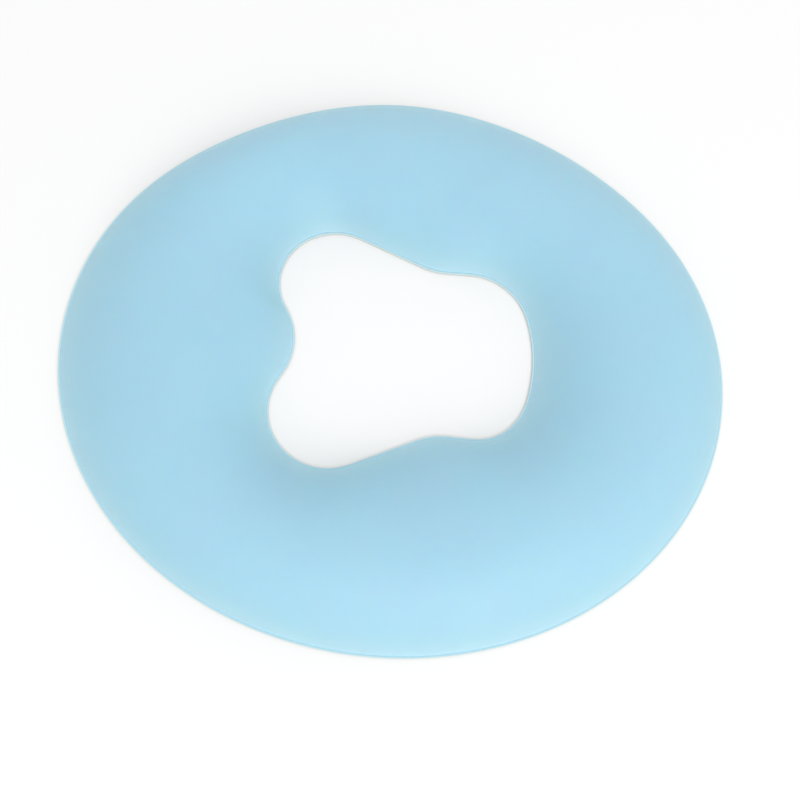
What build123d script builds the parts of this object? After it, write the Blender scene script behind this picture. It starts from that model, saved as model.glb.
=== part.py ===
"""Face cradle cushion: a film-skinned gel ring with a three-lobed face opening.

+X points to the chin end, -X to the forehead end, and +Z up, away from the cradle that the pad lies on.
The origin is the centre of the pad's outline, on its flat underside.
"""
from build123d import *
from math import hypot, sqrt
import os

# Overall sizes, in millimetres.
pad_length = 300.0
pad_width = 264.0
crown_height = 22.0

# The two films and their welded edge.
film_thickness = 0.5
weld_width = 0.8
trim_rounding = 0.3

# The upper film's solid foot between the weld and the gel.
root_width = 1.5

# How full the crown is: 2 is a parabola, and more is a flatter top with steeper flanks.
crown_fullness = 2.1

# Face opening: two eye lobes, a chin end, a straight side between them and a brow that bulges in.
eye_half_width = 56.5
eye_lobe_rear = -57.5
eye_lobe_radius = 26.0
brow_bulge = 9.0
side_run = 10.5
side_bend_radius = 32.5
chin_end = 60.0
chin_end_radius = 70.0
chin_half_width = 39.5
chin_corner_radius = 27.5

# Sections that the crown is lofted through, and how far they run past what they are cut to.
half_turn_sections = 18
section_points = 13
cut_margin = 2.0

# A joining line shorter than this is left out of an outline.
shortest_edge = 0.01

# Worked out from the sizes above.
weld_height = 2 * film_thickness
crown_rise = crown_height - weld_height


def opening_circles():
    """The circles that bound one side of the opening, from the chin end to the brow.

    Each is (x, y, radius), gone round anticlockwise, or clockwise where the radius is negative.
    """
    chin_x = chin_end - chin_end_radius
    corner_y = chin_half_width - chin_corner_radius
    corner_x = chin_x + sqrt((chin_end_radius - chin_corner_radius) ** 2 - corner_y**2)
    lobe_x = eye_lobe_rear + eye_lobe_radius
    lobe_y = eye_half_width - eye_lobe_radius
    brow_tip = eye_lobe_rear + brow_bulge
    reach = lobe_x - brow_tip
    brow_radius = (reach**2 + lobe_y**2 - eye_lobe_radius**2) / (2 * brow_bulge)
    return [
        (chin_x, 0.0, chin_end_radius),
        (corner_x, corner_y, chin_corner_radius),
        (corner_x - side_run, chin_half_width + side_bend_radius, -side_bend_radius),
        (lobe_x, lobe_y, eye_lobe_radius),
        (brow_tip - brow_radius, 0.0, -brow_radius),
    ]


def joining_line(first, second):
    """The ends of the line that leaves one circle and meets the next without a corner."""
    step = Vector(second[0] - first[0], second[1] - first[1])
    growth = second[2] - first[2]
    run = sqrt(max(step.length**2 - growth**2, 0.0))
    along = step.normalized()
    outward = (Vector(along.Y, -along.X) * run - along * growth) * (1 / hypot(run, growth))
    leave = Vector(first[0], first[1]) + outward * first[2]
    arrive = Vector(second[0], second[1]) + outward * second[2]
    return leave, arrive


def arc_round(circle, start, end):
    """The short arc of a circle between two of its points."""
    centre = Vector(circle[0], circle[1])
    middle = centre + ((start + end) * 0.5 - centre).normalized() * abs(circle[2])
    return ThreePointArc(start, middle, end)


def opening(setback):
    """The face opening as a flat sheet, wider all round by the setback."""
    circles = [(x, y, radius + setback) for x, y, radius in opening_circles()]
    start = Vector(chin_end + setback, 0)
    edges = []
    for circle, following in zip(circles, circles[1:]):
        leave, arrive = joining_line(circle, following)
        edges.append(arc_round(circle, start, leave))
        if (arrive - leave).length > shortest_edge:
            edges.append(Line(leave, arrive))
        start = arrive
    edges.append(arc_round(circles[-1], start, Vector(eye_lobe_rear + brow_bulge - setback, 0)))
    side = Wire(edges)
    return make_face([*side.edges(), *side.mirror(Plane.XZ).edges()])


def outline(setback):
    """The pad's outer edge as a flat sheet, smaller all round by the setback."""
    return Ellipse(pad_length / 2 - setback, pad_width / 2 - setback)


def pad_ring(setback):
    """The pad's flat shape, narrower by the setback at its outer edge and at the opening."""
    return outline(setback) - opening(setback)


def section(angle, depth):
    """One upright slice of the crown, along a ray from the centre, at a depth under the surface."""
    ray = Vector(1, 0).rotate(Axis.Z, angle)
    across = Line((0, 0), ray * pad_length).edge().intersect(pad_ring(weld_width).face())[0]
    inner, outer = sorted((across @ end).length for end in (0, 1))
    middle = (inner + outer) / 2
    half = (outer - inner) / 2
    reach = half + cut_margin
    points = []
    for number in range(section_points):
        place = reach * (2 * number / (section_points - 1) - 1)
        share = abs(place) / half
        slope = crown_rise * crown_fullness * share ** (crown_fullness - 1) / half
        height = crown_height - crown_rise * share**crown_fullness - depth * hypot(1, slope)
        points.append((middle + place, height))
    base = [points[-1], (middle + reach, -crown_height), (middle - reach, -crown_height), points[0]]
    upright = Plane(origin=(0, 0, 0), x_dir=ray, z_dir=ray.cross(Vector(0, 0, 1)))
    return upright * make_face(Spline(*points) + Polyline(*base))


def crown(depth, setback):
    """All that lies deeper than the crown's surface, above the lower film and within the outline."""
    step = 180 / half_turn_sections
    blank = loft([section(number * step, depth) for number in range(-1, half_turn_sections + 2)])
    upper_half = Pos(0, pad_width / 2) * Rectangle(pad_length, pad_width)
    half_ring = extrude(pad_ring(setback) & upper_half, crown_height)
    half = blank & Pos(0, 0, film_thickness) * half_ring
    return half + mirror(half, Plane.XZ)


def gel_core():
    """The soft gel that fills the pad between its two films."""
    return crown(depth=film_thickness, setback=weld_width + root_width)


def upper_skin():
    """The formed film over the crown, down to the weld at both edges."""
    return crown(depth=0, setback=weld_width) - gel_core()


def lower_skin():
    """The flat film that the pad rests on."""
    return extrude(pad_ring(weld_width), film_thickness)


def welded_sheet():
    """Both films pressed flat together, with their trimmed edges rounded over."""
    sheet = extrude(pad_ring(0), weld_height)
    return fillet(sheet.edges().filter_by(Axis.Z, reverse=True), trim_rounding)


def outer_weld():
    """The weld that joins the films round the outside."""
    return welded_sheet() - extrude(outline(weld_width), weld_height)


def opening_weld():
    """The weld that joins the films round the face opening."""
    return welded_sheet() & extrude(opening(weld_width), weld_height)


def main():
    """Build each sub-part and write it to its own file."""
    os.makedirs("parts", exist_ok=True)
    for make in (gel_core, upper_skin, lower_skin, outer_weld, opening_weld):
        part = make()
        part.label = make.__name__
        export_step(part, f"parts/{make.__name__}.step")


main()
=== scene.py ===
"""A silicone gel face cradle cushion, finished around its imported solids.

Sizes in the dataclass fields are in millimetres, and angles in degrees, unless they say otherwise.
Meshes are in metres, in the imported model's frame: +X to the chin end, -X to the forehead end, +Z up,
and the origin under the middle of the pad.
"""
import logging
import math
from dataclasses import dataclass, field
from enum import Enum
from typing import Any

import bpy
import numpy as np
from mathutils import Matrix, Vector, noise
from mathutils.bvhtree import BVHTree


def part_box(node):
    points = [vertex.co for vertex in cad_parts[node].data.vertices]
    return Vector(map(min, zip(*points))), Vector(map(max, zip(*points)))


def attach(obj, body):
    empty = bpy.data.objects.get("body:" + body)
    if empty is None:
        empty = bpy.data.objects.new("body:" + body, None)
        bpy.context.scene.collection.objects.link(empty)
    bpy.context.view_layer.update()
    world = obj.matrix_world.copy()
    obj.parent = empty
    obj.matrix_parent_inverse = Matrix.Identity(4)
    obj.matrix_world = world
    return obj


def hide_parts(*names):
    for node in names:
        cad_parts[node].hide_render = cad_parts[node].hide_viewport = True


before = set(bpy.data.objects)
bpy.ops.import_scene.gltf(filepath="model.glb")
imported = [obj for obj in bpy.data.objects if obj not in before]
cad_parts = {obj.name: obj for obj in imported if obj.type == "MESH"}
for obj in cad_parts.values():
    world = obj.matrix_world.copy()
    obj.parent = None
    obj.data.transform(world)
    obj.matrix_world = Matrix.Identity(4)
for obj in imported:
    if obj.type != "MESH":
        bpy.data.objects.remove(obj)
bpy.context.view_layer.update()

log = logging.getLogger("face_pad")

MM = 0.001
BODY = "root"

# How many times each piece's faces are subdivided.
SMOOTHING_ROUNDS = 1

# The sRGB curve: a straight foot below the knee, and a power above it.
SRGB_KNEE = 0.04045
SRGB_FOOT = 12.92
SRGB_OFFSET = 0.055
SRGB_POWER = 2.4

# A mixing node's two colour inputs and its colour output, by their numbers, because their names repeat.
COLOUR_A = 6
COLOUR_B = 7
MIXED_COLOUR = 2


class Rim(Enum):
    """An edge of the pad where its two films are welded, by the node that holds the weld."""

    OUTER = "outer_weld"
    OPENING = "opening_weld"


class Side(Enum):
    """Which way a sheet of faces looks."""

    UP = 1
    DOWN = -1


# ----------------------------------------------------------------------------------------------------
# Small tools
# ----------------------------------------------------------------------------------------------------

# The ray-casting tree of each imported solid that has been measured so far.
_TREES: dict[str, BVHTree] = {}


def linear(colour: str) -> tuple[float, float, float, float]:
    """Turn an sRGB colour into the linear values that a shader takes.

    Args:
        colour: Six hex digits, such as "a8d8ea".

    Returns:
        Red, green, blue and an alpha of 1.
    """
    shares = [int(colour[place : place + 2], 16) / 255 for place in (0, 2, 4)]
    straight = [
        value / SRGB_FOOT if value <= SRGB_KNEE else ((value + SRGB_OFFSET) / (1 + SRGB_OFFSET)) ** SRGB_POWER
        for value in shares
    ]
    return (*straight, 1.0)


def add_node(
    tree: bpy.types.NodeTree, kind: str, settings: dict[str | int, Any], links: dict[str | int, Any],
) -> bpy.types.Node:
    """Add one node to a material.

    Args:
        tree: The material's node tree.
        kind: The node's type name.
        settings: Values by property name, or by the name or number of an input socket.
        links: The output sockets that feed it, by the name or the number of its input socket.

    Returns:
        The new node.
    """
    node = tree.nodes.new(kind)
    for name, value in settings.items():
        if isinstance(name, str) and hasattr(node, name):
            setattr(node, name, value)
        else:
            node.inputs[name].default_value = value
    for name, output in links.items():
        tree.links.new(output, node.inputs[name])
    return node


def cast(node: str, start: Vector, direction: Vector) -> Vector:
    """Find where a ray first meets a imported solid.

    Args:
        node: The solid's name.
        start: Where the ray starts, in metres.
        direction: Which way it goes.

    Returns:
        The point that it meets.
    """
    if node not in _TREES:
        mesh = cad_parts[node].data
        points = [vertex.co for vertex in mesh.vertices]
        _TREES[node] = BVHTree.FromPolygons(points, [face.vertices[:] for face in mesh.polygons])
    return _TREES[node].ray_cast(start, direction)[0]


def make_piece(name: str, points: np.ndarray, faces: list[tuple[int, ...]]) -> bpy.types.Object:
    """Make a smooth mesh piece that rides on the pad's body.

    Args:
        name: The piece's name.
        points: Its points in metres, one to a row.
        faces: The point numbers of each face.

    Returns:
        The piece.
    """
    mesh = bpy.data.meshes.new(name)
    mesh.from_pydata(points.tolist(), [], faces)
    mesh.validate()
    mesh.update()
    mesh.shade_smooth()
    piece = bpy.data.objects.new(name, mesh)
    bpy.context.scene.collection.objects.link(piece)
    smoother = piece.modifiers.new("smooth_form", "SUBSURF")
    smoother.levels = SMOOTHING_ROUNDS
    smoother.render_levels = SMOOTHING_ROUNDS
    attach(piece, BODY)
    return piece


def ring_faces(around: int, first: int, second: int, side: Side) -> list[tuple[int, ...]]:
    """The quads between two closed rows of points.

    Args:
        around: How many points each row has.
        first: The number of the first row's first point.
        second: The number of the second row's first point.
        side: Which way the quads look, where the second row lies outside the first.

    Returns:
        One face for each step round.
    """
    quads = []
    for step in range(around):
        following = (step + 1) % around
        quad = (first + step, second + step, second + following, first + following)
        quads.append(quad if side is Side.UP else quad[::-1])
    return quads


def write_attribute(piece: bpy.types.Object, name: str, values: np.ndarray) -> None:
    """Give each point of a piece a number that its material can read."""
    layer = piece.data.attributes.new(name, "FLOAT", "POINT")
    layer.data.foreach_set("value", values.astype(np.float32).ravel())


# ----------------------------------------------------------------------------------------------------
# Finishes
# ----------------------------------------------------------------------------------------------------


@dataclass(frozen=True)
class MouldedGel:
    """Soft silicone gel, cast clear-milky and blue through its whole thickness."""

    # Cast gel holds light inside it, which softens its shadows and makes it look milky.
    colour: str = "abddee"
    cloudy_colour: str = "9fd4e9"
    # Where the gel thins out beside the welds, light has no room to spread in it, and it shows paler.
    thin_colour: str = "cdf2fe"
    cloud_size: float = 34.0
    cloud_detail: float = 3.0
    cloud_roughness: float = 0.55
    scatter_depth: tuple[float, float, float] = (5.0, 9.0, 12.0)
    roughness: float = 0.5
    refraction: float = 1.41
    swirl_size: float = 9.0
    swirl_detail: float = 2.0
    swirl_height: float = 0.04

    def material(self) -> bpy.types.Material:
        """Build the gel's material.

        Returns:
            A subsurface material with faint clouds of thicker pigment.
        """
        made = bpy.data.materials.new("silicone_gel")
        made.use_nodes = True
        tree = made.node_tree
        surface = tree.nodes["Principled BSDF"]
        place = add_node(tree, "ShaderNodeTexCoord", {}, {}).outputs["Object"]
        clouds = add_node(
            tree, "ShaderNodeTexNoise",
            {
                "Scale": 1 / (self.cloud_size * MM),
                "Detail": self.cloud_detail,
                "Roughness": self.cloud_roughness,
            },
            {"Vector": place},
        )
        tint = add_node(
            tree, "ShaderNodeMix",
            {"data_type": "RGBA", COLOUR_A: linear(self.colour), COLOUR_B: linear(self.cloudy_colour)},
            {"Factor": clouds.outputs["Fac"]},
        )
        thin = add_node(tree, "ShaderNodeAttribute", {"attribute_name": "thin"}, {})
        depth = add_node(
            tree, "ShaderNodeMix",
            {"data_type": "RGBA", COLOUR_B: linear(self.thin_colour)},
            {"Factor": thin.outputs["Fac"], COLOUR_A: tint.outputs[MIXED_COLOUR]},
        )
        tree.links.new(depth.outputs[MIXED_COLOUR], surface.inputs["Base Color"])
        swirls = add_node(
            tree, "ShaderNodeTexNoise",
            {"Scale": 1 / (self.swirl_size * MM), "Detail": self.swirl_detail}, {"Vector": place},
        )
        bump = add_node(
            tree, "ShaderNodeBump", {"Distance": self.swirl_height * MM}, {"Height": swirls.outputs["Fac"]},
        )
        tree.links.new(bump.outputs["Normal"], surface.inputs["Normal"])
        spread = add_node(
            tree, "ShaderNodeMath",
            {"operation": "SUBTRACT", "use_clamp": True, 0: 1.0}, {1: thin.outputs["Fac"]},
        )
        tree.links.new(spread.outputs["Value"], surface.inputs["Subsurface Weight"])
        surface.inputs["Subsurface Radius"].default_value = self.scatter_depth
        surface.inputs["Subsurface Scale"].default_value = MM
        surface.inputs["Roughness"].default_value = self.roughness
        surface.inputs["IOR"].default_value = self.refraction
        return made


@dataclass(frozen=True)
class FormedFilm:
    """Thin thermoformed film with a satin, slightly hazy surface."""

    name: str = "silicone_film"
    # The film is a veil over the gel: it takes the light's sharp edge off and adds a faint satin sheen.
    colour: str = "b6e1ea"
    patch_colour: str = "bfd9e8"
    patch_size: float = 22.0
    patch_detail: float = 4.0
    patch_roughness: float = 0.6
    cover: float = 0.3
    roughness: float = 0.46
    roughness_spread: float = 0.08
    refraction: float = 1.43
    grain_size: float = 0.9
    grain_detail: float = 2.0
    grain_height: float = 0.012
    ripple_pitch: float = 3.2
    ripple_height: float = 0.02

    def material(self) -> bpy.types.Material:
        """Build the film's material.

        Returns:
            A part-clear satin material with fine grain, faint patches and faint forming ripples.
        """
        made = bpy.data.materials.new(self.name)
        made.use_nodes = True
        tree = made.node_tree
        surface = tree.nodes["Principled BSDF"]
        place = add_node(tree, "ShaderNodeTexCoord", {}, {}).outputs["Object"]
        patches = add_node(
            tree, "ShaderNodeTexNoise",
            {
                "Scale": 1 / (self.patch_size * MM),
                "Detail": self.patch_detail,
                "Roughness": self.patch_roughness,
            },
            {"Vector": place},
        )
        tint = add_node(
            tree, "ShaderNodeMix",
            {"data_type": "RGBA", COLOUR_A: linear(self.colour), COLOUR_B: linear(self.patch_colour)},
            {"Factor": patches.outputs["Fac"]},
        )
        tree.links.new(tint.outputs[MIXED_COLOUR], surface.inputs["Base Color"])
        smoothest = self.roughness - self.roughness_spread
        roughest = self.roughness + self.roughness_spread
        spread = add_node(
            tree, "ShaderNodeMapRange", {"To Min": smoothest, "To Max": roughest},
            {"Value": patches.outputs["Fac"]},
        )
        tree.links.new(spread.outputs["Result"], surface.inputs["Roughness"])
        grain = add_node(
            tree, "ShaderNodeTexNoise",
            {"Scale": 1 / (self.grain_size * MM), "Detail": self.grain_detail}, {"Vector": place},
        )
        fine = add_node(
            tree, "ShaderNodeBump", {"Distance": self.grain_height * MM}, {"Height": grain.outputs["Fac"]},
        )
        across = add_node(tree, "ShaderNodeAttribute", {"attribute_name": "from_rim"}, {})
        turns = add_node(
            tree, "ShaderNodeMath",
            {"operation": "MULTIPLY", 1: math.tau / self.ripple_pitch}, {0: across.outputs["Fac"]},
        )
        wave = add_node(tree, "ShaderNodeMath", {"operation": "SINE"}, {0: turns.outputs["Value"]})
        ripple = add_node(
            tree, "ShaderNodeBump", {"Distance": self.ripple_height * MM},
            {"Height": wave.outputs["Value"], "Normal": fine.outputs["Normal"]},
        )
        tree.links.new(ripple.outputs["Normal"], surface.inputs["Normal"])
        surface.inputs["Alpha"].default_value = self.cover
        surface.inputs["IOR"].default_value = self.refraction
        return made


@dataclass(frozen=True)
class WeldedEdge:
    """Two films fused by heat and trimmed with a blade."""

    # Fusing drives out the haze beside the gel, and the strip turns a dull grey towards its free edge.
    clear_colour: str = "acd7e5"
    free_edge_colour: str = "c2cdca"
    roughness: float = 0.38
    refraction: float = 1.43
    fleck_size: float = 1.4
    fleck_detail: float = 3.0
    unevenness: float = 0.15
    fleck_height: float = 0.03

    def material(self) -> bpy.types.Material:
        """Build the weld's material.

        Returns:
            A material that turns from clear blue beside the gel to grey at the trimmed edge.
        """
        made = bpy.data.materials.new("fused_silicone_film")
        made.use_nodes = True
        tree = made.node_tree
        surface = tree.nodes["Principled BSDF"]
        place = add_node(tree, "ShaderNodeTexCoord", {}, {}).outputs["Object"]
        flecks = add_node(
            tree, "ShaderNodeTexNoise",
            {"Scale": 1 / (self.fleck_size * MM), "Detail": self.fleck_detail}, {"Vector": place},
        )
        trim = add_node(tree, "ShaderNodeAttribute", {"attribute_name": "trim"}, {})
        uneven = add_node(
            tree, "ShaderNodeMapRange", {"To Min": -self.unevenness, "To Max": self.unevenness},
            {"Value": flecks.outputs["Fac"]},
        )
        share = add_node(
            tree, "ShaderNodeMath", {"operation": "ADD", "use_clamp": True},
            {0: trim.outputs["Fac"], 1: uneven.outputs["Result"]},
        )
        tint = add_node(
            tree, "ShaderNodeMix",
            {
                "data_type": "RGBA",
                COLOUR_A: linear(self.clear_colour),
                COLOUR_B: linear(self.free_edge_colour),
            },
            {"Factor": share.outputs["Value"]},
        )
        tree.links.new(tint.outputs[MIXED_COLOUR], surface.inputs["Base Color"])
        bump = add_node(
            tree, "ShaderNodeBump", {"Distance": self.fleck_height * MM}, {"Height": flecks.outputs["Fac"]},
        )
        tree.links.new(bump.outputs["Normal"], surface.inputs["Normal"])
        surface.inputs["Roughness"].default_value = self.roughness
        surface.inputs["IOR"].default_value = self.refraction
        return made


# ----------------------------------------------------------------------------------------------------
# The pad
# ----------------------------------------------------------------------------------------------------


@dataclass(frozen=True)
class Dimple:
    """A soft dent in the gel, longer than it is wide."""

    x: float
    y: float
    length: float
    width: float
    depth: float
    turn: float

    def at(self, points: np.ndarray) -> np.ndarray:
        """Measure how deep the dent is under each point.

        Args:
            points: Points in metres, with x, y and z along the last axis.

        Returns:
            One depth for each point, in metres.
        """
        east = points[..., 0] / MM - self.x
        north = points[..., 1] / MM - self.y
        turn = math.radians(self.turn)
        along = east * math.cos(turn) + north * math.sin(turn)
        across = north * math.cos(turn) - east * math.sin(turn)
        return self.depth * MM * np.exp(-((along / self.length) ** 2) - (across / self.width) ** 2)


@dataclass(frozen=True)
class Wander:
    """A place where a soft rim has crept out of, or into, its true outline."""

    rim: Rim
    angle: float
    spread: float
    reach: float

    def at(self, angles: np.ndarray) -> np.ndarray:
        """How far out the rim has crept at each angle, given in radians, in metres."""
        turn = (np.degrees(angles) - self.angle + 180) % 360 - 180
        return self.reach * MM * np.exp(-((turn / self.spread) ** 2))


@dataclass
class CrownForm:
    """The pad's outline and crown, from which every piece takes its place."""

    around: int = 192
    across: int = 36
    fullness: float = 2.1
    # The power by which the film thins out towards its welds: a high one keeps that close to them.
    thinning: float = 12.0
    swell_size: float = 46.0
    swell_height: float = 0.5
    # The noise is read on a flat slice of it, at this height in metres.
    swell_slice: float = 0.37
    # This is taken off the noise, so that the crown sinks more than it swells.
    swell_sinking: float = 0.35
    # The power by which the unevenness dies away towards the welds.
    swell_calming: float = 4.0
    dimples: tuple[Dimple, ...] = (
        Dimple(x=-63, y=36, length=15, width=5, depth=1.1, turn=-50),
        Dimple(x=25, y=80, length=9, width=3, depth=0.35, turn=10),
        Dimple(x=-70, y=-38, length=14, width=6, depth=0.6, turn=35),
    )
    wanders: tuple[Wander, ...] = (
        Wander(Rim.OUTER, angle=90, spread=18, reach=1.4),
        Wander(Rim.OUTER, angle=45, spread=18, reach=-1.2),
        Wander(Rim.OUTER, angle=130, spread=18, reach=-1.4),
        Wander(Rim.OPENING, angle=-42, spread=14, reach=1.5),
    )
    angles: np.ndarray = field(init=False)
    rays: np.ndarray = field(init=False)
    # Each place's share of the way from the middle of the crown to a weld: -1 at the opening, 1 outside.
    share: np.ndarray = field(init=False)
    # The heights of the lower film's top and of the welds' top, in metres.
    film: float = field(init=False)
    weld_height: float = field(init=False)
    # How far the trimmed edge and the weld line lie from the middle along each ray, in metres.
    trimmed: dict[Rim, np.ndarray] = field(init=False)
    welded: dict[Rim, np.ndarray] = field(init=False)
    # The crown's points, by ray and by place across, in metres.
    surface: np.ndarray = field(init=False)

    def __post_init__(self) -> None:
        """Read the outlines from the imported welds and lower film, and lay the crown between them."""
        self.angles = np.arange(self.around) * math.tau / self.around
        self.rays = np.stack([np.cos(self.angles), np.sin(self.angles)], axis=1)
        even = np.linspace(-1, 1, self.across + 1)
        self.share = (even - np.cos(np.linspace(0, math.pi, self.across + 1))) / 2
        self.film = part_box("lower_skin")[1].z
        self.weld_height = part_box("outer_weld")[1].z
        self.trimmed = {rim: self._edge(rim.value, rim) for rim in Rim}
        self.welded = {rim: self._edge("lower_skin", rim) for rim in Rim}
        self.surface = self._crown()

    def _edge(self, node: str, rim: Rim) -> np.ndarray:
        """Measure how far an edge lies from the middle, along each ray.

        Args:
            node: The solid that the edge belongs to.
            rim: Whether it is the solid's outer edge or its edge at the opening.

        Returns:
            One distance for each ray, in metres.
        """
        low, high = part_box(node)
        height = (low.z + high.z) / 2
        far = 2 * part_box("outer_weld")[1].x
        distances = []
        for ray in self.rays:
            direction = Vector((ray[0], ray[1], 0))
            start = Vector((0, 0, height))
            if rim is Rim.OUTER:
                start = start + direction * far
                direction = -direction
            distances.append(cast(node, start, direction).xy.length)
        crept = sum(wander.at(self.angles) for wander in self.wanders if wander.rim is rim)
        return np.array(distances) + crept

    def _crown(self) -> np.ndarray:
        """Lay the crown's surface between the two weld lines.

        Returns:
            Points by ray and by place across, from the opening to the outer edge, in metres.
        """
        inner = self.welded[Rim.OPENING][:, None]
        outer = self.welded[Rim.OUTER][:, None]
        distance = (inner + outer) / 2 + self.share * (outer - inner) / 2
        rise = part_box("upper_skin")[1].z - self.weld_height
        height = self.weld_height + rise * (1 - np.abs(self.share) ** self.fullness)
        points = np.empty((self.around, self.across + 1, 3))
        points[..., 0] = distance * self.rays[:, None, 0]
        points[..., 1] = distance * self.rays[:, None, 1]
        points[..., 2] = height
        calm = 1 - np.abs(self.share) ** self.swell_calming
        swell = np.array([[self._swell(point) for point in row] for row in points])
        dents = sum(dimple.at(points) for dimple in self.dimples)
        points[..., 2] += calm * (swell - dents)
        return points

    def _swell(self, point: np.ndarray) -> float:
        """How far the gel's slow unevenness lifts the crown at one point, in metres."""
        place = Vector((point[0], point[1], self.swell_slice)) / (self.swell_size * MM)
        return (noise.noise(place) - self.swell_sinking) * self.swell_height * MM

    def normals(self) -> np.ndarray:
        """Work out which way the crown faces at each of its points.

        Returns:
            Unit directions, by ray and by place across.
        """
        wrapped = np.concatenate([self.surface[-1:], self.surface, self.surface[:1]])
        along = np.gradient(wrapped, axis=0)[1:-1]
        across = np.gradient(self.surface, axis=1)
        outward = np.cross(across, along)
        return outward / np.linalg.norm(outward, axis=2, keepdims=True)

    def sunk(self, depth: float) -> np.ndarray:
        """The crown's surface taken in by a depth in millimetres, down to nothing at the welds."""
        thinning = 1 - np.abs(self.share) ** self.thinning
        return self.surface - self.normals() * (depth * MM * thinning)[:, None]

    def from_rim(self) -> np.ndarray:
        """How far each point of the crown is from the outer weld, in millimetres."""
        reach = np.hypot(self.surface[..., 0], self.surface[..., 1])
        return (self.welded[Rim.OUTER][:, None] - reach) / MM


@dataclass
class GelPad:
    """The gel and the two films that hold it."""

    form: CrownForm
    # How far the gel lies over the lower film, and how much deeper it lies than the upper film's inner face.
    # The second thins out towards the welds.
    film_gap: float = 0.12
    # How far the gel sinks besides, at the welds too, where the film's inner face sinks half as far.
    rim_gap: float = 0.06
    tightness: float = 0.9
    gel: MouldedGel = MouldedGel()
    upper: FormedFilm = FormedFilm()
    lower: FormedFilm = FormedFilm(name="silicone_base_film", cover=0.45, roughness=0.6, ripple_height=0.0)

    def build(self) -> list[bpy.types.Object]:
        """Build and dress the gel and its films.

        Returns:
            The gel, the upper film and the lower film.
        """
        return [self._gel(), self._upper_film(), self._lower_film()]

    def _closed(self, name: str, top: np.ndarray, base: np.ndarray) -> bpy.types.Object:
        """Make a ring-shaped piece from its upper and its lower sheet of points.

        Args:
            name: The piece's name.
            top: The upper sheet, by ray and by place across.
            base: The lower sheet, with as many points.

        Returns:
            The closed piece.
        """
        around, across = top.shape[:2]
        points = np.concatenate([sheet.transpose(1, 0, 2).reshape(-1, 3) for sheet in (top, base)])
        lower = around * across
        faces = []
        for row in range(across - 1):
            faces += ring_faces(around, row * around, (row + 1) * around, Side.UP)
            faces += ring_faces(around, lower + row * around, lower + (row + 1) * around, Side.DOWN)
        faces += ring_faces(around, lower, 0, Side.UP)
        faces += ring_faces(around, lower + (across - 1) * around, (across - 1) * around, Side.DOWN)
        return make_piece(name, points, faces)

    def _film(self, name: str, top: np.ndarray, base: np.ndarray, finish: FormedFilm) -> bpy.types.Object:
        """Make and dress one film, and tell its ripples how far they are from the outer weld.

        Args:
            name: The piece's name.
            top: The film's upper sheet of points.
            base: Its lower sheet.
            finish: How it looks.

        Returns:
            The film's piece.
        """
        piece = self._closed(name, top, base)
        reach = self.form.from_rim().T.ravel()
        write_attribute(piece, "from_rim", np.concatenate([reach, reach]))
        piece.data.materials.append(finish.material())
        return piece

    def _gel(self) -> bpy.types.Object:
        """Build the gel, which fills the space between the films and runs right up to the welds.

        Returns:
            The gel's piece.
        """
        top = self.form.sunk(self.form.film / MM + self.film_gap)
        top[..., 2] -= self.rim_gap * MM
        base = top.copy()
        base[..., 2] = self.form.film + self.film_gap * MM
        piece = self._closed("gel_fill", top, base)
        thin = np.repeat(np.abs(self.form.share) ** self.form.thinning, self.form.around)
        write_attribute(piece, "thin", np.concatenate([thin, thin]))
        piece.data.materials.append(self.gel.material())
        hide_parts("gel_core")
        return piece

    def _upper_film(self) -> bpy.types.Object:
        """Build the formed film over the crown.

        Returns:
            The upper film's piece.
        """
        base = self.form.sunk(self.form.film / MM)
        base[..., 2] -= self.rim_gap * MM / 2
        piece = self._film("crown_film", self.form.surface, base, self.upper)
        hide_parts("upper_skin")
        return piece

    def _lower_film(self) -> bpy.types.Object:
        """Build the flat film that the pad rests on.

        Returns:
            The lower film's piece.
        """
        top = self.form.surface.copy()
        top[..., 2] = self.form.film
        base = top.copy()
        base[..., 2] = 0.0
        piece = self._film("base_film", top, base, self.lower)
        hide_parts("lower_skin")
        return piece


@dataclass
class WeldBand:
    """The fused, trimmed strip along one rim."""

    form: CrownForm
    rim: Rim
    finish: WeldedEdge = WeldedEdge()
    # How far in from the trimmed edge the grey reaches, as a share of the width.
    trimmed_share: float = 0.7
    # Places round the strip's section: share of the width in from the trimmed edge, and of the height.
    # The first and last lie past the weld line, under and in the crown's foot, so that no groove opens there.
    section: tuple[tuple[float, float], ...] = (
        (1.4, 0.0), (0.5, 0.0), (0.14, 0.0), (0.04, 0.12), (0.0, 0.34),
        (0.0, 0.66), (0.04, 0.88), (0.14, 1.0), (0.5, 1.0), (1.0, 1.0), (1.4, 0.9),
    )

    def build(self) -> bpy.types.Object:
        """Build and dress the strip.

        Returns:
            The weld's piece.
        """
        trimmed = self.form.trimmed[self.rim]
        welded = self.form.welded[self.rim]
        rows = []
        trim = []
        for inward, up in self.section:
            distance = trimmed + (welded - trimmed) * inward
            flat = self.form.rays * distance[:, None]
            height = np.full((len(distance), 1), up * self.form.weld_height)
            rows.append(np.hstack([flat, height]))
            trim.append(np.full(len(distance), max(0.0, 1 - inward / self.trimmed_share)))
        around = len(trimmed)
        order = Side.UP if self.rim is Rim.OPENING else Side.DOWN
        faces = []
        for row in range(len(rows)):
            following = (row + 1) % len(rows)
            faces += ring_faces(around, row * around, following * around, order)
        piece = make_piece(f"{self.rim.value}_band", np.concatenate(rows), faces)
        write_attribute(piece, "trim", np.concatenate(trim))
        piece.data.materials.append(self.finish.material())
        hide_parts(self.rim.value)
        return piece


# ----------------------------------------------------------------------------------------------------
# The room
# ----------------------------------------------------------------------------------------------------


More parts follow.
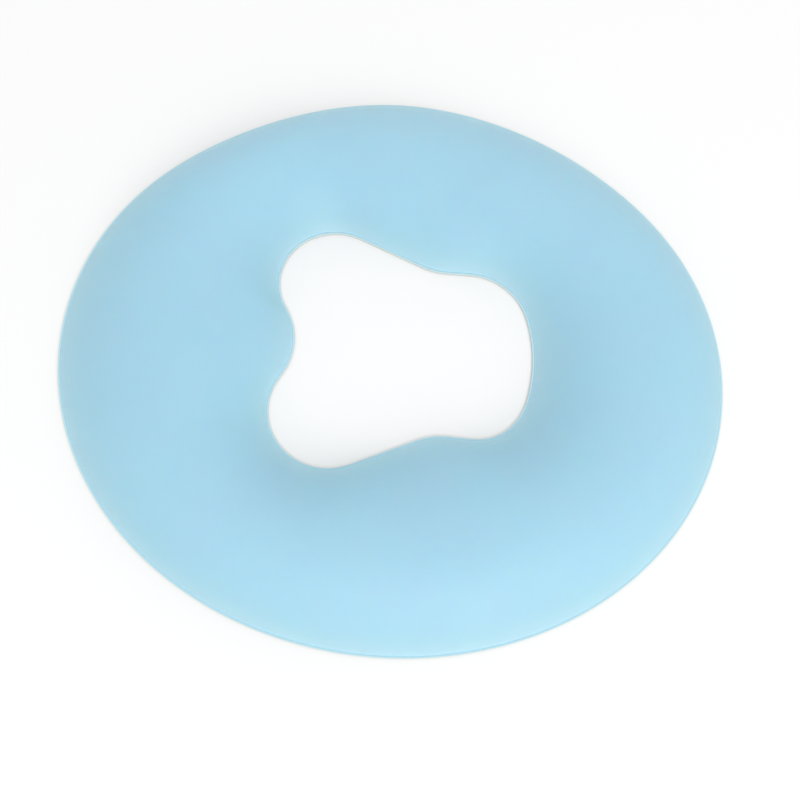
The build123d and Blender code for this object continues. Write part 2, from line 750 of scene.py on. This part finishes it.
@dataclass(frozen=True)
class RoundLamp:
    """A large round lamp, soft on every side, so that it leaves no edge of light across the table."""

    name: str
    azimuth: float
    elevation: float
    # Distance and width are in metres.
    distance: float
    width: float
    watts: float

    def hang(self) -> None:
        """Hang the lamp about the pad's middle, out of the camera's sight."""
        lamp = bpy.data.lights.new(self.name, "POINT")
        lamp.shadow_soft_size = self.width / 2
        lamp.energy = self.watts
        holder = bpy.data.objects.new(self.name, lamp)
        turn = math.radians(self.azimuth)
        lift = math.radians(self.elevation)
        outward = Vector((math.cos(turn) * math.cos(lift), math.sin(turn) * math.cos(lift), math.sin(lift)))
        holder.location = outward * self.distance
        holder.visible_camera = False
        bpy.context.scene.collection.objects.link(holder)


@dataclass
class Studio:
    """A plain white table, soft light and the camera."""

    floor_colour: str = "ebebeb"
    floor_roughness: float = 0.9
    floor_gloss: float = 0.1
    # The table's full width, in metres, and how far it lies under the pad.
    floor_size: float = 24.0
    floor_gap: float = 0.2
    surround: float = 0.95
    surround_colour: str = "ffffff"
    lamps: tuple[RoundLamp, ...] = (
        RoundLamp("front_lamp", azimuth=-70, elevation=34, distance=1.6, width=1.1, watts=44),
        RoundLamp("rear_lamp", azimuth=92, elevation=28, distance=1.6, width=1.4, watts=12),
    )
    # The camera's place: tilt from straight down, turn about the upright, roll about its own line of sight.
    tilt: float = 18.09
    turn: float = -13.07
    roll: float = 15.72
    aim: tuple[float, float, float] = (-0.3, -24.2, 0.5)
    stand_off: float = 310.2
    lens: float = 31.5
    sensor: float = 36.0
    nearest: float = 10.0

    def build(self) -> None:
        """Lay the table, light it and set the camera."""
        self._table()
        self._surround()
        for lamp in self.lamps:
            lamp.hang()
        self._camera()
        bpy.context.scene.view_settings.view_transform = "Standard"

    def _table(self) -> None:
        """A white matt table, far wider than the pad."""
        half = self.floor_size / 2
        mesh = bpy.data.meshes.new("table")
        corners = [(-half, -half, 0), (half, -half, 0), (half, half, 0), (-half, half, 0)]
        mesh.from_pydata(corners, [], [(0, 1, 2, 3)])
        table = bpy.data.objects.new("table", mesh)
        table.location.z = -self.floor_gap * MM
        bpy.context.scene.collection.objects.link(table)
        matt = bpy.data.materials.new("matt_white_laminate")
        matt.use_nodes = True
        surface = matt.node_tree.nodes["Principled BSDF"]
        surface.inputs["Base Color"].default_value = linear(self.floor_colour)
        surface.inputs["Roughness"].default_value = self.floor_roughness
        surface.inputs["Specular IOR Level"].default_value = self.floor_gloss
        mesh.materials.append(matt)

    def _surround(self) -> None:
        """An even white glow from all round."""
        world = bpy.data.worlds.new("white_surround")
        world.use_nodes = True
        glow = world.node_tree.nodes["Background"]
        glow.inputs["Color"].default_value = linear(self.surround_colour)
        glow.inputs["Strength"].default_value = self.surround
        bpy.context.scene.world = world

    def _camera(self) -> None:
        """A camera above the pad's near side, looking down and slightly across it."""
        turned = Matrix.Rotation(math.radians(self.turn), 4, "Z")
        tilted = Matrix.Rotation(math.radians(self.tilt), 4, "X")
        rolled = Matrix.Rotation(math.radians(self.roll), 4, "Z")
        data = bpy.data.cameras.new("camera")
        data.lens = self.lens
        data.sensor_width = self.sensor
        data.clip_start = self.nearest * MM
        camera = bpy.data.objects.new("camera", data)
        target = Vector(self.aim) * MM
        back = Matrix.Translation((0, 0, self.stand_off * MM))
        camera.matrix_world = Matrix.Translation(target) @ (turned @ tilted @ rolled) @ back
        bpy.context.scene.collection.objects.link(camera)
        bpy.context.scene.camera = camera


def main() -> None:
    """Build the pad's pieces and its surroundings, and report each piece."""
    logging.basicConfig(level=logging.INFO, format="%(name)s: %(message)s")
    form = CrownForm()
    pieces = GelPad(form).build()
    pieces += [WeldBand(form, rim).build() for rim in Rim]
    Studio().build()
    for piece in pieces:
        log.info("%s: %d points, %d faces", piece.name, len(piece.data.vertices), len(piece.data.polygons))


if __name__ == "__main__":
    main()
